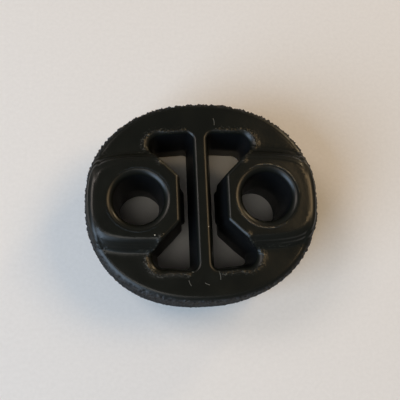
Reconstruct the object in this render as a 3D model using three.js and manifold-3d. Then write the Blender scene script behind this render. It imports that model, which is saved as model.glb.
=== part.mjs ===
// Two-hole exhaust hanger, moulded in one piece from solid rubber.
// A rounded ring carries a boss at its left and right, with a bore for a hanger rod in each.
// A thin web runs up the middle between two windows, so that the bosses can swing
// towards the web and stop against it. The mould parts at mid height, so every wall
// leans away from that plane and the upper and lower halves are alike.
// Millimetres, +Z along the bores, +X from boss to boss, the rest face at z = 0.

import * as THREE from 'three';
import { mergeVertices } from 'three/addons/utils/BufferGeometryUtils.js';
import Module from 'manifold-3d';

const wasm = await Module();
wasm.setup();

// Overall form
const ringLength = 62.9;
const ringWidth = 55.2;
const ringFullness = 2.22;
const ringThickness = 22.4;
const ringEdgeRadius = 2.0;
const sideBulge = 0.3;

// Bosses
const boreSpacing = 34.0;
const bossRise = 2.8;
const bossHalfWidth = 10.2;
const bossFlank = 4.5;
const bossFootInset = 0.1;
const bossTopInset = 2.4;
const bossFootRounding = 7;
const bossTopRounding = 6.5;
const facetLength = 13.0;
const facetSlant = 45;
const bossDraft = 4;
const bossEdgeRadius = 1.0;
const stopPadLength = 8.4;
const stopPadHeight = 18.0;
const stopPadCrest = 3.0;
const stopPadRise = 0.8;
const bossFootDepth = 0.25;
const bossSkirt = 3.0;

// Bores
const boreNeckDiameter = 11.0;
const boreMouthDiameter = 13.2;
const boreMouthRadius = 1.9;

// Web, rim and windows
const webThickness = 3.6;
const webEdgeRadius = 1.0;
const stopGap = 1.1;
const rimThickness = 8.7;
const windowWallFall = 0.7;
const pocketSetback = 3.1;
const pocketEdgeRadius = 1.8;
const windowDraft = 8;
const webFillet = 2.0;
const pocketOuterFillet = 3.2;
const pocketInnerFillet = 1.2;
const facetFillet = 1.5;
const filletTaper = 0.5;

// Steps in the curves
const ringSteps = 96;
const bossSteps = 60;
const boreSteps = 40;
const roundSteps = 4;
const flankSteps = 5;
const cornerSteps = 5;
const facetSteps = 3;
const slantSteps = 6;

const overallHeight = ringThickness + 2 * bossRise;
const ringTop = ringThickness / 2;
const bossTop = overallHeight / 2;
const boreX = boreSpacing / 2;
const windowLean = Math.tan(THREE.MathUtils.degToRad(windowDraft));
const bossLean = Math.tan(THREE.MathUtils.degToRad(bossDraft));
const slantSlope = Math.tan(THREE.MathUtils.degToRad(facetSlant));
const cutPast = 1.0;
const mouthTurn = THREE.MathUtils.degToRad(78);
const mouthReach = 1.25;
const filletRoom = 0.95;
const padRoot = 1.0;

// A closed solid from rings of points that all have the same number of points,
// each ring anticlockwise seen from above, the lowest ring first.
function loft(rings) {
  const count = rings[0].length;
  const positions = [];
  for (const ring of rings) {
    for (const point of ring) positions.push(point.x, point.y, point.z);
  }
  const faces = [];
  for (let level = 0; level + 1 < rings.length; level++) {
    for (let i = 0; i < count; i++) {
      const next = (i + 1) % count;
      const low = level * count;
      const high = low + count;
      faces.push(low + i, low + next, high + next);
      faces.push(low + i, high + next, high + i);
    }
  }
  const highest = (rings.length - 1) * count;
  const contour = rings[0].map((point) => new THREE.Vector2(point.x, point.y));
  for (const [a, b, c] of THREE.ShapeUtils.triangulateShape(contour, [])) {
    faces.push(a, c, b);
  }
  const lid = rings.at(-1).map((point) => new THREE.Vector2(point.x, point.y));
  for (const [a, b, c] of THREE.ShapeUtils.triangulateShape(lid, [])) {
    faces.push(highest + a, highest + b, highest + c);
  }
  const geometry = new THREE.BufferGeometry();
  geometry.setAttribute('position', new THREE.Float32BufferAttribute(positions, 3));
  geometry.setIndex(faces);
  return geometry;
}

// Turns a closed geometry into a solid that can be joined and cut.
function solidOf(geometry) {
  const bare = geometry.clone();
  bare.deleteAttribute('normal');
  bare.deleteAttribute('uv');
  const merged = mergeVertices(bare);
  return new wasm.Manifold(new wasm.Mesh({
    numProp: 3,
    vertProperties: merged.getAttribute('position').array,
    triVerts: new Uint32Array(merged.getIndex().array),
  }));
}

function geometryOf(solid) {
  const mesh = solid.getMesh();
  const geometry = new THREE.BufferGeometry();
  geometry.setAttribute('position', new THREE.BufferAttribute(mesh.vertProperties, 3));
  geometry.setIndex(new THREE.BufferAttribute(mesh.triVerts, 1));
  geometry.computeVertexNormals();
  return geometry;
}

// Distance from a centre at (x, 0) to the ring's outline, drawn in by an inset,
// along a direction. The outline is |x/a|^n + |y/b|^n = 1, met by halving steps.
function reachToOutline(x, angle, inset) {
  const a = ringLength / 2 - inset;
  const b = ringWidth / 2 - inset;
  const outside = (r) => {
    const u = Math.abs((x + r * Math.cos(angle)) / a);
    const v = Math.abs(r * Math.sin(angle) / b);
    return u ** ringFullness + v ** ringFullness > 1;
  };
  let near = 0;
  let far = ringLength;
  for (let i = 0; i < 40; i++) {
    const middle = (near + far) / 2;
    if (outside(middle)) far = middle;
    else near = middle;
  }
  return near;
}

function circleOfPoints(steps, radiusAt, x, z) {
  return Array.from({ length: steps }, (_, i) => {
    const angle = i / steps * 2 * Math.PI;
    const r = radiusAt(angle);
    return new THREE.Vector3(x + r * Math.cos(angle), r * Math.sin(angle), z);
  });
}

// The ring without its windows. Its side swells a little to mid height,
// and its top and bottom edges are rounded.
function makeRing() {
  const wallTop = ringTop - ringEdgeRadius;
  const levels = [];
  for (const height of [0, 0.35, 0.7]) {
    levels.push({ z: height * wallTop, inset: sideBulge * height ** 2 });
  }
  for (let i = 0; i <= roundSteps; i++) {
    const angle = i / roundSteps * Math.PI / 2;
    const inset = sideBulge + ringEdgeRadius * (1 - Math.cos(angle));
    levels.push({ z: wallTop + ringEdgeRadius * Math.sin(angle), inset });
  }
  const ringAt = (level, side) => circleOfPoints(
    ringSteps, (angle) => reachToOutline(0, angle, level.inset), 0, side * level.z);
  const below = levels.slice(1).reverse().map((level) => ringAt(level, -1));
  const above = levels.map((level) => ringAt(level, 1));
  return loft([...below, ...above]);
}

// Height of the boss flank between its foot (0) and its flat top (1), an S curve.
const flankHeight = (share) => (1 - Math.cos(Math.PI * share)) / 2;

// Distance from the bore's axis to the edge of the boss, at its foot (share 0) or its
// top (share 1). Each bound gives a distance, and a high power mean rounds their corners.
// The end of the boss stays full up to its top, where it turns over into the flat.
function bossReach(angle, share) {
  const halfWidth = bossHalfWidth + bossFlank * (1 - share);
  const inset = THREE.MathUtils.lerp(bossFootInset, bossTopInset, share ** 3);
  const rounding = THREE.MathUtils.lerp(bossFootRounding, bossTopRounding, share);
  const bounds = [
    reachToOutline(boreX, angle, sideBulge + inset),
    halfWidth / Math.max(Math.abs(Math.sin(angle)), 1e-6),
  ];
  if (Math.cos(angle) < 0) {
    bounds.push((boreX - stopPadX) / -Math.cos(angle));
  }
  const sum = bounds.reduce((total, reach) => total + reach ** -rounding, 0);
  return sum ** (-1 / rounding);
}

// Height of the ring's top surface at a distance in from its side, with its rounded edge.
function ringSurface(inset) {
  const across = Math.max(ringEdgeRadius - inset, 0);
  return ringTop - ringEdgeRadius + Math.sqrt(ringEdgeRadius ** 2 - across ** 2);
}

// One boss block, standing proud of the ring above and below. Its foot starts just under
// the ring's surface, rounded edge and all. The window cuts its inner side to facets.
function makeBoss() {
  const shares = Array.from({ length: flankSteps + 1 }, (_, i) => i / flankSteps);
  const ringAt = (share, side) => circleOfPoints(
    bossSteps, (angle) => bossReach(angle, share), boreX, 0).map((point, i) => {
    const angle = i / bossSteps * 2 * Math.PI;
    const inset = reachToOutline(boreX, angle, sideBulge) - bossReach(angle, 0);
    const foot = ringSurface(Math.max(inset, 0)) - bossFootDepth;
    return point.setZ(side * THREE.MathUtils.lerp(foot, bossTop, flankHeight(share)));
  });
  const skirt = (side) => circleOfPoints(
    bossSteps, (angle) => bossReach(angle, 0), boreX, side * (ringTop - bossSkirt));
  const below = shares.map((share) => ringAt(share, -1)).reverse();
  const above = shares.map((share) => ringAt(share, 1));
  return loft([...below, skirt(-1), skirt(1), ...above]);
}

// Faces of the window at a height from mid height, which the draft moves apart.
const webXAt = (height) => webThickness / 2 + windowLean * (ringTop - height);
const wallYAt = (height) => ringWidth / 2 - rimThickness - windowLean * (ringTop - height);
const pocketXAt = (height) => boreX - pocketSetback - windowLean * (ringTop - height);
const stopPadX = webXAt(0) + stopGap;
const facetXAt = (height) => stopPadX + stopPadRise + bossLean * height;

// The slanted facet runs from the end of the straight one into the pocket.
function slantYAt(x, height) {
  const start = facetLength / 2 - slantSlope * facetXAt(0);
  return slantSlope * x + start - bossLean * height * Math.hypot(1, slantSlope);
}

// Corners of one window at a height, anticlockwise, each with its fillet and the steps in
// it. The fillets taper with the draft towards mid height, but the one on the boss's own
// corner doesn't. The edge after a slant corner has steps of its own.
function windowCorners(height) {
  const webX = webXAt(height);
  const wallY = wallYAt(height);
  const pocketX = pocketXAt(height);
  const facetX = facetXAt(height);
  const taper = THREE.MathUtils.lerp(filletTaper, 1, height / ringTop);
  const half = [
    { x: facetX, y: slantYAt(facetX, height), fillet: facetFillet, steps: facetSteps },
    {
      x: pocketX,
      y: slantYAt(pocketX, height),
      fillet: pocketInnerFillet * taper,
      steps: facetSteps,
    },
    {
      x: pocketX,
      y: wallY - windowWallFall,
      fillet: pocketOuterFillet * taper,
      steps: cornerSteps,
    },
    { x: webX, y: wallY, fillet: webFillet * taper, steps: cornerSteps },
  ];
  const otherHalf = half.map((corner) => ({ ...corner, y: -corner.y })).reverse();
  half[0].slant = true;
  otherHalf[2].slant = true;
  return [...half, ...otherHalf];
}

// Points of a polygon whose corners are rounded by their fillets. Two fillets that meet
// on a wall too short for both are made smaller until they fit it.
function roundedOutline(corners) {
  const count = corners.length;
  const arms = corners.map((corner, i) => {
    const here = new THREE.Vector2(corner.x, corner.y);
    const last = corners[(i + count - 1) % count];
    const next = corners[(i + 1) % count];
    const back = new THREE.Vector2(last.x, last.y).sub(here).normalize();
    const ahead = new THREE.Vector2(next.x, next.y).sub(here).normalize();
    const halfAngle = back.angleTo(ahead) / 2;
    return { here, back, ahead, halfAngle, along: corner.fillet / Math.tan(halfAngle) };
  });
  const fits = arms.map((arm, i) => {
    const next = arms[(i + 1) % count];
    const wall = arm.here.distanceTo(next.here);
    return Math.min(filletRoom * wall / (arm.along + next.along), 1);
  });
  const tangents = arms.map(({ here, back, ahead, halfAngle, along }, i) => {
    const reach = along * Math.min(fits[i], fits[(i + count - 1) % count]);
    const toCentre = back.clone().add(ahead).normalize();
    return {
      centre: here.clone().addScaledVector(toCentre, reach / Math.cos(halfAngle)),
      start: here.clone().addScaledVector(back, reach),
      end: here.clone().addScaledVector(ahead, reach),
    };
  });
  const points = [];
  tangents.forEach(({ centre, start, end }, i) => {
    const first = start.clone().sub(centre);
    const last = end.clone().sub(centre);
    const turn = Math.atan2(first.cross(last), first.dot(last));
    const steps = corners[i].steps;
    for (let step = 0; step <= steps; step++) {
      const arm = first.clone().rotateAround(new THREE.Vector2(), turn * step / steps);
      points.push(centre.clone().add(arm));
    }
    const following = tangents[(i + 1) % tangents.length].start;
    for (let step = 1; corners[i].slant && step < slantSteps; step++) {
      points.push(end.clone().lerp(following, step / slantSteps));
    }
  });
  return points;
}

// Height of the moulding's face at a point beside a window: the ring's face at the web
// and the rim, and the boss with its flank beyond the facets.
function faceHeight(point) {
  if (point.x < facetXAt(0)) return ringTop;
  const beyond = (Math.abs(point.y) - bossHalfWidth) / bossFlank;
  const share = 1 - THREE.MathUtils.clamp(beyond, 0, 1);
  const flank = THREE.MathUtils.lerp(ringTop - bossFootDepth, bossTop, flankHeight(share));
  return Math.max(flank, ringTop);
}

// Radius of the rounded edge where a window comes out, at a point of its outline at mid
// height. It is the boss's on the facets, and widest round the pockets.
function edgeRadius({ x, y }) {
  const offSlant = Math.abs(y) - slantYAt(x, 0);
  const deep = THREE.MathUtils.smoothstep(
    x, pocketXAt(0) - pocketOuterFillet, pocketXAt(0));
  const offBoss = THREE.MathUtils.smoothstep(offSlant, 0, pocketInnerFillet);
  const onRing = THREE.MathUtils.lerp(webEdgeRadius, pocketEdgeRadius, deep);
  return THREE.MathUtils.lerp(bossEdgeRadius, onRing, x < facetXAt(0) ? 1 : offBoss);
}

// Profile of a rounded mouth of radius 1, as steps out and up from the wall: an arc that
// stops short of the face's slope, and then its tangent, which runs out through the face.
function mouthProfile(slope) {
  const turn = mouthTurn - Math.atan(slope);
  const profile = Array.from({ length: roundSteps + 1 }, (_, i) => {
    const angle = i / roundSteps * turn;
    return [1 - Math.cos(angle), Math.sin(angle)];
  });
  const [arcOut, arcUp] = profile.at(-1);
  return [...profile, [mouthReach, arcUp + (mouthReach - arcOut) / Math.tan(turn)]];
}

// The space of one window, from mid height both ways. Its walls lean outwards by the
// draft, and its mouth rounds the edge of whatever face it comes out of.
function makeWindow() {
  const middle = roundedOutline(windowCorners(0));
  const upper = roundedOutline(windowCorners(ringTop));
  const edges = middle.map((point, i) => {
    const last = upper[(i + upper.length - 1) % upper.length];
    const next = upper[(i + 1) % upper.length];
    const outward = new THREE.Vector2(next.y - last.y, last.x - next.x).normalize();
    const radius = edgeRadius(point);
    const wallAt = (height) => point.clone().lerp(upper[i], height / ringTop);
    const brink = wallAt(faceHeight(upper[i]));
    const beyond = brink.clone().addScaledVector(outward, radius * mouthReach);
    const face = faceHeight(brink);
    const slope = (faceHeight(beyond) - face) / (radius * mouthReach);
    const wallTop = face - radius * Math.tan((Math.PI / 2 - Math.atan(slope)) / 2);
    return { top: wallAt(wallTop), outward, radius, wallTop, profile: mouthProfile(slope) };
  });
  const pointOf = (edge, out, z) => {
    const at = edge.top.clone().addScaledVector(edge.outward, edge.radius * out);
    return new THREE.Vector3(at.x, at.y, z);
  };
  const levels = edges[0].profile.map((_, level) => edges.map((edge) => {
    const [out, up] = edge.profile[level];
    return pointOf(edge, out, edge.wallTop + edge.radius * up);
  }));
  levels.push(edges.map((edge) => pointOf(edge, mouthReach, bossTop + cutPast)));
  const below = levels.map((level) => level.map((point) => point.clone().setZ(-point.z)));
  const between = middle.map((point) => new THREE.Vector3(point.x, point.y, 0));
  return loft([...below.reverse(), between, ...levels]);
}

// The space of one bore: narrowest at mid height, opened by the draft
// of the core pins, with a rounded mouth at each end.
function makeBore() {
  const neck = boreNeckDiameter / 2;
  const mouth = boreMouthDiameter / 2;
  const wallTop = bossTop - boreMouthRadius;
  const half = [new THREE.Vector2(neck, 0)];
  for (const [out, up] of mouthProfile(0)) {
    half.push(new THREE.Vector2(mouth + boreMouthRadius * out, wallTop + boreMouthRadius * up));
  }
  half.push(new THREE.Vector2(mouth + boreMouthRadius * mouthReach, bossTop + cutPast));
  half.push(new THREE.Vector2(0, bossTop + cutPast));
  const otherHalf = half.slice(1).reverse().map((point) => new THREE.Vector2(point.x, -point.y));
  const bore = new THREE.LatheGeometry([...otherHalf, ...half], boreSteps);
  bore.rotateX(Math.PI / 2);
  bore.translate(boreX, 0, 0);
  return bore;
}

// The low pad on the straight facet that meets the web first, thickest at mid height,
// where it leaves only the stop gap. It is rooted in the boss.
function makeStopPad() {
  const crest = stopPadCrest / 2;
  const end = stopPadHeight / 2;
  const root = facetXAt(end) + padRoot;
  const profile = new THREE.Shape([
    new THREE.Vector2(root, -end),
    new THREE.Vector2(root, end),
    new THREE.Vector2(facetXAt(end), end),
    new THREE.Vector2(stopPadX, crest),
    new THREE.Vector2(stopPadX, -crest),
    new THREE.Vector2(facetXAt(end), -end),
  ]);
  const pad = new THREE.ExtrudeGeometry(profile, { depth: stopPadLength, bevelEnabled: false });
  return pad.translate(0, 0, -stopPadLength / 2).rotateX(Math.PI / 2);
}

function mirrored(geometry) {
  return geometry.clone().rotateZ(Math.PI);
}

function makeHanger() {
  let body = solidOf(makeRing());
  const boss = makeBoss();
  for (const block of [boss, mirrored(boss)]) body = body.add(solidOf(block));
  const window = makeWindow();
  const bore = makeBore();
  for (const space of [window, mirrored(window), bore, mirrored(bore)]) {
    body = body.subtract(solidOf(space));
  }
  const pad = makeStopPad();
  for (const block of [pad, mirrored(pad)]) body = body.add(solidOf(block));
  return geometryOf(body).translate(0, 0, bossTop);
}

const rubber = new THREE.MeshStandardMaterial({
  color: '#1d1c1a',
  roughness: 0.62,
  metalness: 0,
});

const hanger = new THREE.Mesh(makeHanger(), rubber);
hanger.name = 'hanger_rubber';

const part = new THREE.Group();
part.add(hanger);

export default part;
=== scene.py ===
import itertools
import math

import bpy
import numpy as np
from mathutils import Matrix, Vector
from mathutils.geometry import delaunay_2d_cdt


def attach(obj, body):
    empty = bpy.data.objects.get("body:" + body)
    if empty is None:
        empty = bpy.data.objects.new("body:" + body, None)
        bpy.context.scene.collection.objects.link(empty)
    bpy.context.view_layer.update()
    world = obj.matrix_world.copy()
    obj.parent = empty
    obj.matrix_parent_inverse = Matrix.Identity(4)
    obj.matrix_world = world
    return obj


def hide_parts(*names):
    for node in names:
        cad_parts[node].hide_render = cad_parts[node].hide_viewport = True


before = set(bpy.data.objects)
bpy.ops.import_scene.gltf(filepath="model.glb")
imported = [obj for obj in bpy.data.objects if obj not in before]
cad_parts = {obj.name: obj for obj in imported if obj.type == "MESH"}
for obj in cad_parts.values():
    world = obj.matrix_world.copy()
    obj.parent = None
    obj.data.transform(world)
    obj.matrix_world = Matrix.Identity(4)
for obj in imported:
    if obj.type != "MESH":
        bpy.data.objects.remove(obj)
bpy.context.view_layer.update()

# Hanger rubber. One solid moulding of black EPDM rubber, pressed in a mould that parts at
# mid height. A hanger rod goes through the bore in each boss, and the thin web between
# the two windows holds the bosses apart. Its outer side has a coarse rough skin.

# Sizes are in millimetres, and heights are from mid height until the mesh is made.

ring_length = 62.9
ring_width = 55.2
ring_fullness = 2.22
ring_top = 11.2
ring_edge = 2.0
side_bulge = 0.3
bore_x = 17.0
boss_top = 14.0
boss_half_width = 10.2
boss_flank = 4.5
boss_end = 2.5
boss_foot_inset = 0.1
boss_foot_depth = 0.25
boss_foot_height = 9.6
boss_foot_rounding = 6
boss_top_rounding = 3.4
crease_ease = 0.22
facet_length = 13.0
boss_lean = math.tan(math.radians(4))
window_lean = math.tan(math.radians(8))
web_thickness = 3.6
web_edge = 1.0
facet_edge = 1.0
pocket_edge = 1.8
stop_gap = 1.1
pad_rise = 0.8
pad_length = 8.4
pad_height = 18.0
pad_crest = 3.0
rim_thickness = 8.7
window_wall_fall = 0.7
pocket_setback = 3.1
web_fillet = 2.0
pocket_outer_fillet = 3.2
pocket_inner_fillet = 1.2
facet_fillet = 1.5
fillet_taper = 0.5
bore_neck = 5.5
bore_mouth = 6.6
bore_edge = 1.9
skin_pitch = 0.95
skin_depth = 1.35
face_sink = 0.06
pit_reach = 0.6
net_pitch = 0.7


def outline_radius(angle, inset):
    """Distance from the middle to the ring's outline, which is |x/a|^n + |y/b|^n = 1 with
    both half sizes less the inset."""
    u = np.abs(np.cos(angle)) / (ring_length / 2 - inset)
    v = np.abs(np.sin(angle)) / (ring_width / 2 - inset)
    return (u ** ring_fullness + v ** ring_fullness) ** (-1 / ring_fullness)


def reach_from_bore(angle, inset):
    """Distance from the bore's axis to the outline along an angle, by halving the step."""
    near = np.zeros_like(angle)
    far = near + ring_length
    for _ in range(26):
        middle = (near + far) / 2
        x = bore_x + middle * np.cos(angle)
        y = middle * np.sin(angle)
        outside = np.hypot(x, y) > outline_radius(np.arctan2(y, x), inset)
        far = np.where(outside, middle, far)
        near = np.where(outside, near, middle)
    return near


def boss_reach(angle, share):
    """Distance from the bore's axis to the boss's contour, its foot at share 0 and its flat
    top at share 1: the power mean of the reach to the outline and to the half width."""
    half_width = boss_half_width + boss_flank * (1 - share)
    inset = side_bulge + boss_foot_inset + boss_end * share ** 3
    rounding = boss_foot_rounding + (boss_top_rounding - boss_foot_rounding) * share
    to_outline = reach_from_bore(angle, inset)
    to_side = half_width / np.maximum(np.abs(np.sin(angle)), 1e-6)
    return (to_outline ** -rounding + to_side ** -rounding) ** (-1 / rounding)


def s_curve(share):
    """Rise from 0 to 1 as half a turn of a cosine."""
    return (1 - np.cos(np.pi * share)) / 2


def face_height(x, y):
    """Height of the top face at a point: the ring's flat face, or the boss where its S
    curve from foot to top lies higher. A square root eases the crease between them."""
    angle = np.arctan2(np.abs(y), np.abs(x) - bore_x)
    distance = np.hypot(np.abs(x) - bore_x, y)
    levels = np.linspace(0, 1, 21)
    reaches = np.stack([boss_reach(angle, level) for level in levels])
    above = np.clip((reaches >= distance).sum(0), 1, len(levels) - 1)
    outer = np.take_along_axis(reaches, above[None] - 1, 0)[0]
    inner = np.take_along_axis(reaches, above[None], 0)[0]
    part = np.clip((outer - distance) / (outer - inner), -1, 1)
    share = np.clip((above - 1 + part) / (len(levels) - 1), 0, 1)
    foot = ring_top - boss_foot_depth
    climb = foot + (boss_top - foot) * s_curve(share) - ring_top
    eased = ring_top + (climb + np.sqrt(climb ** 2 + crease_ease ** 2)) / 2
    full = np.where(share >= 1, boss_top, np.minimum(eased, boss_top))
    flat = (share <= 0) | (np.abs(x) < web_thickness / 2 + window_lean * ring_top + stop_gap)
    return np.where(flat, ring_top, full)


def facet_x(height):
    """The boss's straight facet towards the web, which leans back by the draft."""
    return (web_thickness / 2 + window_lean * ring_top + stop_gap + pad_rise
            + boss_lean * height)


def slant_y(x, height):
    """The boss's slanted facet, a line at 45 degrees from the end of the straight one."""
    return x + facet_length / 2 - facet_x(0) - boss_lean * height * math.sqrt(2)


def window_corners(height):
    """Corners of the right window at a height, anticlockwise, as x, y and fillet."""
    depth = window_lean * (ring_top - height)
    web = web_thickness / 2 + depth
    wall = ring_width / 2 - rim_thickness - depth
    pocket = bore_x - pocket_setback - depth
    facet = facet_x(height)
    taper = fillet_taper + (1 - fillet_taper) * height / ring_top
    half = [
        (facet, slant_y(facet, height), facet_fillet),
        (pocket, slant_y(pocket, height), pocket_inner_fillet * taper),
        (pocket, wall - window_wall_fall, pocket_outer_fillet * taper),
        (web, wall, web_fillet * taper),
    ]
    return np.array(half + [(x, -y, fillet) for x, y, fillet in reversed(half)])


def rounded_outline(corners, arc_steps, edge_parts):
    """Points round a polygon: an arc at each corner, by turning its first spoke step by
    step, and then points along the next edge at the given parts of its length."""
    here = corners[:, :2]
    to_last = np.roll(here, 1, 0) - here
    to_next = np.roll(here, -1, 0) - here
    wall = np.linalg.norm(to_next, axis=1)
    back = to_last / np.linalg.norm(to_last, axis=1)[:, None]
    ahead = to_next / wall[:, None]
    half_angle = np.arccos((back * ahead).sum(1)) / 2
    along = corners[:, 2] / np.tan(half_angle)
    fit = np.minimum(0.95 * wall / (along + np.roll(along, -1)), 1)
    along = along * np.minimum(fit, np.roll(fit, 1))
    to_centre = (back + ahead) / np.linalg.norm(back + ahead, axis=1)[:, None]
    centre = here + to_centre * (along / np.cos(half_angle))[:, None]
    start = here + back * along[:, None]
    end = here + ahead * along[:, None]
    points = []
    for i, steps in enumerate(arc_steps):
        first = start[i] - centre[i]
        last = end[i] - centre[i]
        turn = math.atan2(first[0] * last[1] - first[1] * last[0], first @ last)
        angle = turn * np.arange(steps + 1) / steps
        cos, sin = np.cos(angle)[:, None], np.sin(angle)[:, None]
        points.append(centre[i] + cos * first + sin * np.array([-first[1], first[0]]))
        part = np.array(edge_parts[i])[:, None]
        points.append(end[i] + part * (start[(i + 1) % len(start)] - end[i]))
    return np.concatenate(points)


def even(count):
    """Parts of an edge between its ends, evenly spaced."""
    return list(np.arange(1, count) / count)


def smooth(low, high, value):
    """Rise from 0 at low to 1 at high, level at both ends."""
    part = np.clip((value - low) / (high - low), 0, 1)
    return part * part * (3 - 2 * part)


def window_surface():
    """Grid of points up the wall of the right window, one column for each point of its
    outline and one row for each height from the lower mouth's rim to the upper one's. The
    wall is straight from mid height outwards, then an arc turns it over to the face. The
    stop pad is a wedge on the straight facet, thickest at mid height."""
    half_pad = pad_length / 2
    past_middle = [1.5, 3, 0.98 * half_pad, 1.02 * half_pad, 5.2]
    across = np.array([-part for part in reversed(past_middle)] + [0] + past_middle)
    straight = facet_length / 2 - facet_fillet * math.tan(math.radians(22.5))
    edges = [even(22), even(5), even(16), even(60), even(16), even(5), even(22),
             list((across + straight) / (2 * straight))]
    arcs = [8, 6, 16, 10, 10, 16, 6, 8]
    middle = rounded_outline(window_corners(0), arcs, edges)
    upper = rounded_outline(window_corners(ring_top), arcs, edges)
    tangent = np.roll(upper, -1, 0) - np.roll(upper, 1, 0)
    tangent /= np.linalg.norm(tangent, axis=1)[:, None]
    outward = np.stack([tangent[:, 1], -tangent[:, 0]], 1)

    x, y = middle.T
    off_slant = np.abs(y) - slant_y(x, 0)
    pocket = bore_x - pocket_setback - window_lean * ring_top
    deep = smooth(pocket - pocket_outer_fillet, pocket, x)
    off_boss = np.where(x < facet_x(0) - 0.05, 1, smooth(0, pocket_inner_fillet, off_slant))
    on_ring = web_edge + (pocket_edge - web_edge) * deep
    radius = facet_edge + (on_ring - facet_edge) * off_boss

    brink_height = face_height(*upper.T)
    brink = middle + (upper - middle) * (brink_height / ring_top)[:, None]
    beyond = brink + outward * radius[:, None]
    face = face_height(*brink.T)
    slope = np.clip((face_height(*beyond.T) - face) / radius, 0, 1.5)
    turn = np.pi / 2 - np.arctan(slope)
    wall_top = face - radius * np.tan(turn / 2)

    crest = pad_crest / 2
    end = pad_height / 2
    on_facet = (np.abs(x - facet_x(0)) < 1e-6) & (np.abs(y) < half_pad)
    levels = []
    for height in (0, crest, 3, 5, 7, end):
        level = np.full((len(x), 3), float(height))
        level[:, :2] = middle + (upper - middle) * (height / ring_top)
        back = np.clip((height - crest) / (end - crest), 0, 1)
        pad_x = facet_x(0) - pad_rise + (facet_x(end) - facet_x(0) + pad_rise) * back
        level[:, 0] = np.where(on_facet, pad_x, level[:, 0])
        levels.append(level)
    for height in ((end + wall_top) / 2, wall_top):
        at = middle + (upper - middle) * (height / ring_top)[:, None]
        levels.append(np.column_stack([at, height]))

    top = levels[-1]
    rim = top[:, :2] + outward * (radius * (1 - np.cos(turn)))[:, None]
    miss = face_height(*rim.T) - (wall_top + radius * np.sin(turn))
    for share in np.arange(1, 9) / 8:
        angle = turn * share
        at = top[:, :2] + outward * (radius * (1 - np.cos(angle)))[:, None]
        height = wall_top + radius * np.sin(angle) + miss * share ** 2
        levels.append(np.column_stack([at, height]))
    half = np.stack(levels)
    below = half[:0:-1] * [1, 1, -1]
    return np.concatenate([below, half])


def bore_surface():
    """Grid of points up the wall of the right bore: a circle carried along a profile that
    is narrowest at mid height and turns out to the boss's face as a quarter round."""
    angle = np.linspace(0, 2 * np.pi, 112, endpoint=False)
    wall_top = boss_top - bore_edge
    wall = np.linspace(0, 1, 9)
    arc = np.linspace(0, np.pi / 2, 10)[1:]
    radius = np.concatenate([bore_neck + (bore_mouth - bore_neck) * wall,
                             bore_mouth + bore_edge * (1 - np.cos(arc))])
    height = np.concatenate([wall * wall_top, wall_top + bore_edge * np.sin(arc)])
    half = np.stack([bore_x + radius[:, None] * np.cos(angle),
                     radius[:, None] * np.sin(angle),
                     np.repeat(height[:, None], len(angle), 1)], -1)
    below = half[:0:-1] * [1, 1, -1]
    return np.concatenate([below, half])


def lumps(points, pitch, seed):
    """Crust of rounded lumps from 0 to 1: one lump sits at a random place in each cell of
    a cubic lattice, and the height falls with the distance to the nearest lump."""
    places = np.random.default_rng(seed).random((32, 32, 32, 3))
    spot = points / pitch
    cell = np.floor(spot).astype(int)
    nearest = np.full(spot.shape[:-1], 9.0)
    for step in itertools.product((-1, 0, 1), repeat=3):
        other = cell + step
        i, j, k = np.moveaxis(other % 32, -1, 0)
        nearest = np.minimum(nearest, ((spot - other - places[i, j, k]) ** 2).sum(-1))
    return 1 - np.clip(np.sqrt(nearest), 0, 1)


def swells(points, pitch, seed):
    """Soft unevenness from 0 to 1: random heights on a cubic lattice, eased between."""
    heights = np.random.default_rng(seed).random((32, 32, 32))
    spot = points / pitch
    cell = np.floor(spot).astype(int)
    part = spot - cell
    part = part * part * (3 - 2 * part)
    total = np.zeros(spot.shape[:-1])
    for step in itertools.product((0, 1), repeat=3):
        i, j, k = np.moveaxis((cell + step) % 32, -1, 0)
        weight = np.prod(np.where(step, part, 1 - part), -1)
        total += weight * heights[i, j, k]
    return total


def skin_surface(columns):
    """Grid of points over the outer side, one column for each point of the outline, from
    the lower face line up to the upper one. The side swells to mid height, and its edge
    turns over as a quarter round on the ring and as the boss's own end at the bosses."""
    fine = np.linspace(0, 2 * np.pi, 4001)
    radius = outline_radius(fine, 0)
    x, y = radius * np.cos(fine), radius * np.sin(fine)
    length = np.concatenate([[0], np.cumsum(np.hypot(np.diff(x), np.diff(y)))])
    angle = np.interp(np.arange(columns) / columns * length[-1], length, fine)

    line = outline_radius(angle, side_bulge + ring_edge + 0.2)
    face = face_height(line * np.cos(angle), line * np.sin(angle))
    boss = (face - ring_top) / (boss_top - ring_top)
    levels = []
    wall_top = ring_top - ring_edge
    start = wall_top + (boss_foot_height - wall_top) * boss
    for share in np.linspace(0, 1, 25)[:-1]:
        height = start * share
        levels.append((side_bulge * (height / wall_top) ** 2, height))
    for share in np.linspace(0, 1, 16):
        tau = share * np.pi / 2
        ring_inset = side_bulge + ring_edge * (1 - np.cos(tau))
        ring_height = wall_top + ring_edge * np.sin(tau)
        boss_inset = side_bulge + boss_foot_inset + boss_end * share ** 3
        boss_height = boss_foot_height + (boss_top - boss_foot_height) * s_curve(share)
        levels.append((ring_inset + (boss_inset - ring_inset) * boss,
                       ring_height + (boss_height - ring_height) * boss))
    half = []
    for inset, height in levels:
        reach = outline_radius(angle, inset)
        half.append(np.stack([reach * np.cos(angle), reach * np.sin(angle), height], -1))
    half = np.stack(half)
    below = half[:0:-1] * [1, 1, -1]
    return np.concatenate([below, half])


def grid_normals(grid):
    """Unit normals of a grid that closes round its columns: the cross product of the steps
    along a row and up a column."""
    round_step = np.roll(grid, -1, 1) - np.roll(grid, 1, 1)
    up_step = np.gradient(grid, axis=0)
    normal = np.cross(round_step, up_step)
    return normal / np.linalg.norm(normal, axis=-1)[..., None]


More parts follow.
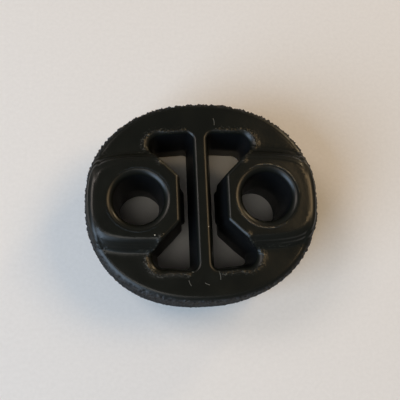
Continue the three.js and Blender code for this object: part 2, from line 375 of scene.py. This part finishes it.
def grid_faces(rows, columns, first, outside):
    """Quads between the rows and columns of a grid, numbered from first."""
    low = first + np.arange((rows - 1) * columns).reshape(rows - 1, columns)
    after = np.roll(low, -1, 1)
    quad = [low, after, after + columns, low + columns]
    if not outside:
        quad.reverse()
    return np.stack(quad, -1).reshape(-1, 4)


def inside_polygon(points, polygon):
    """Whether each point is in a polygon, by counting the edges that cross to its right."""
    ax, ay = polygon.T
    bx, by = np.roll(polygon, -1, 0).T
    px, py = points[:, 0, None], points[:, 1, None]
    spans = (ay > py) != (by > py)
    cut = ax + (py - ay) * (bx - ax) / np.where(by == ay, 1, by - ay)
    return ((spans & (px < cut)).sum(1) % 2) == 1


def nearest_gap(points, loop):
    """Distance from each point to the nearest of a loop's points."""
    return np.sqrt(((points[:, None] - loop[None]) ** 2).sum(-1).min(1))


def rough_crust(skin):
    """The skin's grid with its crust, and how rough each point is: lumps of two sizes stand
    off the smooth side, patchy by soft swells, and fade out towards the ring's edge."""
    rows, columns = skin.shape[:2]
    share = np.abs(np.arange(rows) - (rows - 1) / 2) / ((rows - 1) / 2)
    rough = (1 - smooth(0.79, 0.88, share))[:, None]
    tall = skin * [1, 1, 0.6]
    crust = 0.62 * lumps(tall, skin_pitch, 3) + 0.38 * lumps(tall, skin_pitch / 2.1, 5)
    patchy = 0.5 + 0.5 * swells(skin, 6, 11) + 0.008 * skin[..., 1]
    relief = (crust - 0.5) * patchy * rough * skin_depth
    corner = np.array([ring_length / 2, ring_width / 2, boss_top])
    crusted = np.clip(skin + grid_normals(skin) * relief[..., None], -corner, corner)
    return crusted, np.repeat(rough, columns, 1)


def face_net(loops):
    """Points over a face, inside the outer rim and clear of the openings: a net of staggered
    columns, and the boss's own contours in its place where the flank climbs."""
    across, along = np.meshgrid(np.arange(-31, 31, net_pitch), np.arange(-27, 27, net_pitch))
    along = along + np.where(np.arange(across.shape[1]) % 2, net_pitch / 2, 0)
    net = np.column_stack([across.ravel(), along.ravel()])
    angle = np.linspace(0, 2 * np.pi, 200, endpoint=False)
    contours = []
    for level in (0.14, 0.19, 0.24, 0.31, 0.4, 0.5, 0.6, 0.7, 0.8, 0.9, 1.0):
        reach = boss_reach(angle, level)
        contours.append(np.column_stack([bore_x + reach * np.cos(angle),
                                         reach * np.sin(angle)]))
    contours = np.concatenate(contours)
    on_right = net * np.where(net[:, :1] < 0, -1, 1)
    net = net[nearest_gap(on_right, contours) >= 0.45]
    net = np.concatenate([net, contours, -contours])
    net = net[inside_polygon(net, loops[0])]
    for loop in loops[1:]:
        net = net[~inside_polygon(net, loop)]
    for loop in loops:
        net = net[nearest_gap(net, loop) > 0.3]
    return net


def face_triangles(loops, net):
    """Anticlockwise triangles that join the rims and the net, numbered in that order: a
    Delaunay triangulation with the rims as edges, less what lies over an opening."""
    flat = np.concatenate([*loops, net])
    edges = []
    start = 0
    for loop in loops:
        ids = start + np.arange(len(loop))
        edges += np.column_stack([ids, np.roll(ids, -1)]).tolist()
        start += len(loop)
    _, _, made, origins, _, _ = delaunay_2d_cdt(
        [Vector(point) for point in flat.tolist()], edges, [], 0, 1e-7)
    source = np.array([origin[0] for origin in origins])
    made = source[np.array(made)]
    middle = flat[made].mean(1)
    keep = inside_polygon(middle, loops[0])
    for loop in loops[1:]:
        keep &= ~inside_polygon(middle, loop)
    made = made[keep]
    first, second, third = flat[made].transpose(1, 0, 2)
    ahead, aside = second - first, third - first
    clockwise = ahead[:, 0] * aside[:, 1] < ahead[:, 1] * aside[:, 0]
    made[clockwise] = made[clockwise][:, ::-1]
    return made


def surface_shares(points, pocket_loops, roughness, walls):
    """What the material reads at each point: the rough skin, the rise up a boss's flank, the
    depth of the flank's steps, and the pits. The steps are plainest on the two far flanks
    and faint on the near left one, and the walls of the openings have none."""
    above = np.abs(points[:, 2] - boss_top)
    flank = np.clip((above - ring_top) / (boss_top - ring_top), 0, 1)
    pitted = np.zeros(len(points))
    for loop in pocket_loops:
        pocket = loop[(np.abs(loop[:, 1]) > 9.5) & (np.abs(loop[:, 0]) > 4)]
        near_rim = np.exp(-(nearest_gap(points[:, :2], pocket) / pit_reach) ** 2)
        pitted = np.maximum(pitted, near_rim * (above > ring_top - 2))
    foot = smooth(0.01, 0.08, flank) * (1 - smooth(0.15, 0.4, flank))
    patches = swells(points, 5, 31) > 0.5
    pitted = np.maximum(pitted, 0.5 * foot * patches) * (1 - roughness)
    near_left, near_right, far = 0.3, 1.0, 2.2
    near = np.where(points[:, 0] < 0, near_left, near_right)
    step_depth = flank * (1 - flank) * np.where(points[:, 1] < 0, near, far)
    step_depth[walls] = 0
    return {"rough_skin": roughness, "flank_rise": flank, "step_depth": step_depth,
            "pitted": pitted}


def make_hanger():
    """The closed shell: skin, windows and bores as grids, and a sheet over each face that
    fills the space between their rims, sunk by soft swells of a few hundredths."""
    skin, rough = rough_crust(skin_surface(720))
    half_turn = np.array([-1, -1, 1])
    window = window_surface()
    bore = bore_surface()
    grids = [(skin, True), (window, False), (window * half_turn, False),
             (bore, False), (bore * half_turn, False)]
    points, quads, upper_ids, lower_ids, loops = [], [], [], [], []
    first = 0
    for grid, outside in grids:
        rows, columns = grid.shape[:2]
        points.append(grid.reshape(-1, 3))
        quads.append(grid_faces(rows, columns, first, outside))
        lower_ids.append(first + np.arange(columns))
        upper_ids.append(first + (rows - 1) * columns + np.arange(columns))
        loops.append(grid[-1, :, :2])
        first += rows * columns

    net = face_net(loops)
    upper = np.concatenate([*upper_ids, first + np.arange(len(net))])
    lower = np.concatenate([*lower_ids, first + len(net) + np.arange(len(net))])
    made = face_triangles(loops, net)
    sheets = np.concatenate([upper[made], lower[made][:, ::-1]])

    from_rim = np.min([nearest_gap(net, loop) for loop in loops], 0)
    fade = face_sink * smooth(0.3, 3, from_rim)
    for side in (1, -1):
        sheet = np.column_stack([net, side * face_height(*net.T)])
        sheet[:, 2] -= side * swells(sheet, 9, 21) * fade
        points.append(sheet)
    points = np.concatenate(points)
    points[:, 2] += boss_top

    roughness = np.zeros(len(points))
    roughness[:rough.size] = rough.ravel()
    shares = surface_shares(points, loops[1:3], roughness, slice(rough.size, first))
    return points / 1000, np.concatenate(quads), sheets, shares


points, quads, sheets, shares = make_hanger()
mesh = bpy.data.meshes.new("hanger_rubber_moulded")
mesh.vertices.add(len(points))
mesh.vertices.foreach_set("co", points.astype(np.float32).ravel())
corners = np.concatenate([quads.ravel(), sheets.ravel()])
mesh.loops.add(len(corners))
mesh.loops.foreach_set("vertex_index", corners.astype(np.int32))
starts = np.concatenate([np.arange(len(quads)) * 4,
                         len(quads) * 4 + np.arange(len(sheets)) * 3])
mesh.polygons.add(len(starts))
mesh.polygons.foreach_set("loop_start", starts.astype(np.int32))
mesh.update(calc_edges=True)
mesh.validate()
mesh.shade_smooth()
for name, share in shares.items():
    mesh.attributes.new(name, "FLOAT", "POINT").data.foreach_set(
        "value", share.astype(np.float32))
hanger = bpy.data.objects.new("moulded_hanger", mesh)
bpy.context.scene.collection.objects.link(hanger)


def colour(hex_code):
    """An sRGB hex value as linear red, green, blue and alpha."""
    parts = [int(hex_code[i:i + 2], 16) / 255 for i in (1, 3, 5)]
    linear = [p / 12.92 if p <= 0.04045 else ((p + 0.055) / 1.055) ** 2.4 for p in parts]
    return (*linear, 1.0)


def add_node(material, kind, settings=None, links=None):
    """A node of a kind, with its settings and socket values, linked to what feeds it."""
    node = material.node_tree.nodes.new(kind)
    for name, value in (settings or {}).items():
        if isinstance(name, int) or name in node.inputs:
            node.inputs[name].default_value = value
        else:
            setattr(node, name, value)
    for name, output in (links or {}).items():
        material.node_tree.links.new(output, node.inputs[name])
    return node


# Moulded EPDM rubber: carbon black makes it near black with an olive cast, and the mould
# leaves a satin face that shows broad soft highlights. The skin of its outer side is dull.
rubber = bpy.data.materials.new("moulded_epdm_rubber")
rubber.use_nodes = True
shader = rubber.node_tree.nodes["Principled BSDF"]
shader.inputs["IOR"].default_value = 1.5
shader.inputs["Metallic"].default_value = 0.0
coordinates = add_node(rubber, "ShaderNodeTexCoord")
place = coordinates.outputs["Object"]
rough_skin, flank_rise, step_depth, pitted = [
    add_node(rubber, "ShaderNodeAttribute", {"attribute_name": name}).outputs["Fac"]
    for name in shares]

# Cloudy bloom about 8 mm across and a fine grain of about 0.6 mm. The steep walls of the
# openings are painted a lighter, plainer grey, a painted sheen for the light they reflect,
# and the skin is mottled about 0.8 mm wide, black between lumps worn to grey.
bloom = add_node(rubber, "ShaderNodeTexNoise",
                 {"Scale": 125.0, "Detail": 4.0, "Roughness": 0.6},
                 {"Vector": place}).outputs["Fac"]
grain = add_node(rubber, "ShaderNodeTexNoise", {"Scale": 1600.0, "Detail": 3.0},
                 {"Vector": place}).outputs["Fac"]
mottle = add_node(rubber, "ShaderNodeTexNoise",
                  {"Scale": 1300.0, "Detail": 3.0, "Roughness": 0.7},
                  {"Vector": place}).outputs["Fac"]
upright = add_node(rubber, "ShaderNodeSeparateXYZ", {},
                   {0: coordinates.outputs["Normal"]}).outputs["Z"]
levelness = add_node(rubber, "ShaderNodeMath", {"operation": "ABSOLUTE"}, {0: upright}).outputs[0]
steep = add_node(rubber, "ShaderNodeMapRange", {"From Min": 0.55, "From Max": 0.2},
                 {"Value": levelness}).outputs["Result"]
worn = add_node(rubber, "ShaderNodeMapRange", {"From Min": 0.42, "From Max": 0.6},
                {"Value": mottle}).outputs["Result"]
face_tone = add_node(rubber, "ShaderNodeMix",
                     {"data_type": "RGBA", 6: colour("#0b0d0b"), 7: colour("#12140f")},
                     {"Factor": bloom}).outputs[2]
# Painted sheen: steep walls get a lighter grey than the level faces, standing in for reflected
# light.
smooth_tone_with_wall_sheen = add_node(rubber, "ShaderNodeMix", {"data_type": "RGBA", 7: colour("#131415")},
                       {"Factor": steep, 6: face_tone}).outputs[2]
crust_tone = add_node(rubber, "ShaderNodeMix",
                      {"data_type": "RGBA", 6: colour("#050606"), 7: colour("#292b2d")},
                      {"Factor": worn}).outputs[2]
tone = add_node(rubber, "ShaderNodeMix", {"data_type": "RGBA"},
                {"Factor": rough_skin, 6: smooth_tone_with_wall_sheen, 7: crust_tone}).outputs[2]

# The level faces are satin, what leans is a little softer, and the skin is dull.
leaning = add_node(rubber, "ShaderNodeMapRange", {"From Min": 0.9985, "From Max": 0.965},
                   {"Value": levelness}).outputs["Result"]
satin = add_node(rubber, "ShaderNodeMapRange",
                 {"From Min": 0.3, "From Max": 0.7, "To Min": 0.18, "To Max": 0.25},
                 {"Value": bloom}).outputs["Result"]
softer = add_node(rubber, "ShaderNodeMix", {"B": 0.33},
                  {"Factor": leaning, "A": satin}).outputs[0]
dull = add_node(rubber, "ShaderNodeMix", {"B": 0.5},
                {"Factor": rough_skin, "A": softer}).outputs[0]
rubber.node_tree.links.new(dull, shader.inputs["Roughness"])

# The grain hides its own far sides, so the gloss fades where the eye grazes the rubber.
facing = add_node(rubber, "ShaderNodeLayerWeight", {"Blend": 0.5}).outputs["Facing"]
gloss = add_node(rubber, "ShaderNodeMapRange",
                 {"From Min": 0.3, "From Max": 0.85, "To Min": 0.36, "To Max": 0.02},
                 {"Value": facing}).outputs["Result"]
rubber.node_tree.links.new(gloss, shader.inputs["Specular IOR Level"])

# Tool marks of the mould: three steps up each boss flank, a ring round each mouth, and pits
# of about 0.5 mm along the pocket rims and the flank feet, which catch the light. The
# mottle roughens the skin, and the grain is drawn as a faint bump under it all.
step_turns = add_node(rubber, "ShaderNodeMath", {"operation": "MULTIPLY", 1: 6 * math.pi},
                      {0: flank_rise}).outputs[0]
step_wave = add_node(rubber, "ShaderNodeMath", {"operation": "SINE"}, {0: step_turns}).outputs[0]
steps = add_node(rubber, "ShaderNodeMath", {"operation": "MULTIPLY"},
                 {0: step_wave, 1: step_depth}).outputs[0]
flat_place = add_node(rubber, "ShaderNodeVectorMath", {"operation": "MULTIPLY", 1: (1, 1, 0)},
                      {0: place}).outputs[0]
folded = add_node(rubber, "ShaderNodeVectorMath", {"operation": "ABSOLUTE"},
                  {0: flat_place}).outputs[0]
from_bore = add_node(rubber, "ShaderNodeVectorMath",
                     {"operation": "DISTANCE", 1: (bore_x / 1000, 0, 0)},
                     {0: folded}).outputs["Value"]
mouth_ring = add_node(rubber, "ShaderNodeMath",
                      {"operation": "COMPARE", 1: 0.00862, 2: 0.00009},
                      {0: from_bore}).outputs[0]
pits = add_node(rubber, "ShaderNodeTexNoise", {"Scale": 2000.0, "Detail": 2.0},
                {"Vector": place}).outputs["Fac"]
pit_depth = add_node(rubber, "ShaderNodeMath", {"operation": "MULTIPLY"},
                     {0: pits, 1: pitted}).outputs[0]
with_mottle = add_node(rubber, "ShaderNodeMath", {"operation": "MULTIPLY_ADD"},
                       {0: mottle, 1: rough_skin, 2: pit_depth}).outputs[0]
with_steps = add_node(rubber, "ShaderNodeMath", {"operation": "MULTIPLY_ADD", 1: 0.9},
                      {0: steps, 2: with_mottle}).outputs[0]
tooling = add_node(rubber, "ShaderNodeMath", {"operation": "MULTIPLY_ADD", 1: 0.08},
                   {0: mouth_ring, 2: with_steps}).outputs[0]
fine_bump = add_node(rubber, "ShaderNodeBump", {"Strength": 0.25, "Distance": 0.00005},
                     {"Height": grain}).outputs["Normal"]
bump = add_node(rubber, "ShaderNodeBump", {"Strength": 1.0, "Distance": 0.0002},
                {"Height": tooling, "Normal": fine_bump}).outputs["Normal"]
rubber.node_tree.links.new(bump, shader.inputs["Normal"])

# Pale specks painted on the highest points of the pits' bump along the rims, a painted glint
# where they catch the light, three dust specks, and four short curved scuffs on the upper side.
# In millimetres: a scuff is part of a thin ring, given by its middle, the way from there to the
# ring's centre, and its half length. A speck is given by its place.
# Painted glints: pale specks on the raised points of the pits' bump, not a substance.
pit_glint = add_node(rubber, "ShaderNodeMapRange", {"From Min": 0.59, "From Max": 0.7},
                {"Value": pits}).outputs["Result"]
pit_glint_share = add_node(rubber, "ShaderNodeMath", {"operation": "MULTIPLY"},
                      {0: pit_glint, 1: pitted}).outputs[0]
tone = add_node(rubber, "ShaderNodeMix", {"data_type": "RGBA", 7: colour("#55554c")},
                {"Factor": pit_glint_share, 6: tone}).outputs[2]
scuffs = ((4.1, 21.8, 25.2, -3.4, -0.4, 1.0), (3.7, -20.2, 25.2, -5, -0.8, 1.2),
          (0.2, -22.4, 25.2, 1.2, 2.6, 0.7), (-4.3, -22.0, 25.2, 3, 1.2, 0.8))
specks = ((-13.0, -9.6, 28), (-3.4, -19.1, 25.2), (1.3, -7.3, 25.2))
scuff_half_width = 0.07
speck_radius = 0.16
for x, y, z, to_x, to_y, half_length in scuffs:
    centre = ((x + to_x) / 1000, (y + to_y) / 1000, z / 1000)
    from_centre = add_node(rubber, "ShaderNodeVectorMath", {"operation": "DISTANCE", 1: centre},
                           {0: place}).outputs["Value"]
    on_ring = add_node(rubber, "ShaderNodeMath",
                       {"operation": "COMPARE", 1: math.hypot(to_x, to_y) / 1000,
                        2: scuff_half_width / 1000}, {0: from_centre}).outputs[0]
    from_middle = add_node(rubber, "ShaderNodeVectorMath",
                           {"operation": "DISTANCE", 1: (x / 1000, y / 1000, z / 1000)},
                           {0: place}).outputs["Value"]
    in_reach = add_node(rubber, "ShaderNodeMath",
                        {"operation": "LESS_THAN", 1: half_length / 1000},
                        {0: from_middle}).outputs[0]
    scuffed = add_node(rubber, "ShaderNodeMath", {"operation": "MULTIPLY"},
                       {0: on_ring, 1: in_reach}).outputs[0]
    tone = add_node(rubber, "ShaderNodeMix", {"data_type": "RGBA", 7: colour("#5c5b54")},
                    {"Factor": scuffed, 6: tone}).outputs[2]
for x, y, z in specks:
    from_speck = add_node(rubber, "ShaderNodeVectorMath",
                          {"operation": "DISTANCE", 1: (x / 1000, y / 1000, z / 1000)},
                          {0: place}).outputs["Value"]
    on_speck = add_node(rubber, "ShaderNodeMath",
                        {"operation": "LESS_THAN", 1: speck_radius / 1000},
                        {0: from_speck}).outputs[0]
    tone = add_node(rubber, "ShaderNodeMix", {"data_type": "RGBA", 7: colour("#b4b1a6")},
                    {"Factor": on_speck, 6: tone}).outputs[2]
rubber.node_tree.links.new(tone, shader.inputs["Base Color"])
mesh.materials.append(rubber)

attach(hanger, "root")
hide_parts("hanger_rubber")

# Floor. A pale off-white sheet of matt card with a faint tooth, under the part.
card = bpy.data.materials.new("matt_card")
card.use_nodes = True
card_shader = card.node_tree.nodes["Principled BSDF"]
card_shader.inputs["Roughness"].default_value = 0.9
card_shader.inputs["Specular IOR Level"].default_value = 0.2
card_place = add_node(card, "ShaderNodeTexCoord").outputs["Object"]
tooth = add_node(card, "ShaderNodeTexNoise", {"Scale": 900.0, "Detail": 4.0},
                 {"Vector": card_place})
card_tone = add_node(card, "ShaderNodeMix",
                     {"data_type": "RGBA", 6: colour("#dedbd6"), 7: colour("#e9e6e1")},
                     {"Factor": tooth.outputs["Fac"]})
card.node_tree.links.new(card_tone.outputs[2], card_shader.inputs["Base Color"])
card_bump = add_node(card, "ShaderNodeBump", {"Strength": 0.3, "Distance": 0.0001},
                     {"Height": tooth.outputs["Fac"]})
card.node_tree.links.new(card_bump.outputs["Normal"], card_shader.inputs["Normal"])
floor_mesh = bpy.data.meshes.new("floor")
floor_mesh.from_pydata([(-1.5, -1.5, 0), (1.5, -1.5, 0), (1.5, 1.5, 0), (-1.5, 1.5, 0)],
                       [], [(0, 1, 2, 3)])
floor_mesh.materials.append(card)
floor = bpy.data.objects.new("floor", floor_mesh)
bpy.context.scene.collection.objects.link(floor)


def lamp(name, azimuth, elevation, distance, width, height, power, tint):
    """A flat area lamp that looks at the part from an azimuth and an elevation."""
    light = bpy.data.lights.new(name, "AREA")
    light.shape = "RECTANGLE"
    light.size = width
    light.size_y = height
    light.energy = power
    light.color = colour(tint)[:3]
    a, e = math.radians(azimuth), math.radians(elevation)
    back = Vector((math.cos(a) * math.cos(e), math.sin(a) * math.cos(e), math.sin(e)))
    holder = bpy.data.objects.new(name, light)
    holder.location = back * distance + Vector((0, 0, 0.014))
    holder.rotation_euler = back.to_track_quat("Z", "Y").to_euler()
    bpy.context.scene.collection.objects.link(holder)


# Light. A large cool lamp at the near left, a warm one high at the right, two soft ones high
# at the far left and almost overhead, a narrow warm one low at the far right, and a dim
# world between them.
lamp("cool_lamp", 212, 36, 0.9, 0.6, 0.7, 8.8, "#c2daf4")
lamp("warm_lamp", 20, 54, 1.0, 0.4, 0.4, 2.9, "#ffd8a2")
lamp("overhead_lamp", 150, 52, 1.0, 0.35, 0.35, 2.2, "#fff0e6")
lamp("near_lamp", 238, 72, 1.0, 0.3, 0.3, 0.9, "#f6f2ea")
lamp("low_lamp", 45, 12, 1.0, 0.16, 0.06, 2.4, "#ffe0b0")
world = bpy.data.worlds.new("studio")
bpy.context.scene.world = world
world.use_nodes = True
world.node_tree.nodes["Background"].inputs["Color"].default_value = colour("#f1ece4")
world.node_tree.nodes["Background"].inputs["Strength"].default_value = 0.12

# Camera. It looks down from a little in front and to the left, as the photograph does.
camera_data = bpy.data.cameras.new("camera")
camera_data.sensor_width = 36
camera_data.lens = 54
camera_data.clip_start = 0.01
camera = bpy.data.objects.new("camera", camera_data)
camera.location = (-0.014445, -0.033947, 0.180621)
camera.rotation_euler = [math.radians(turn) for turn in (12.445, -4.495, -2.510)]
bpy.context.scene.collection.objects.link(camera)
bpy.context.scene.camera = camera
bpy.context.scene.view_settings.view_transform = "Standard"

bpy.context.view_layer.update()
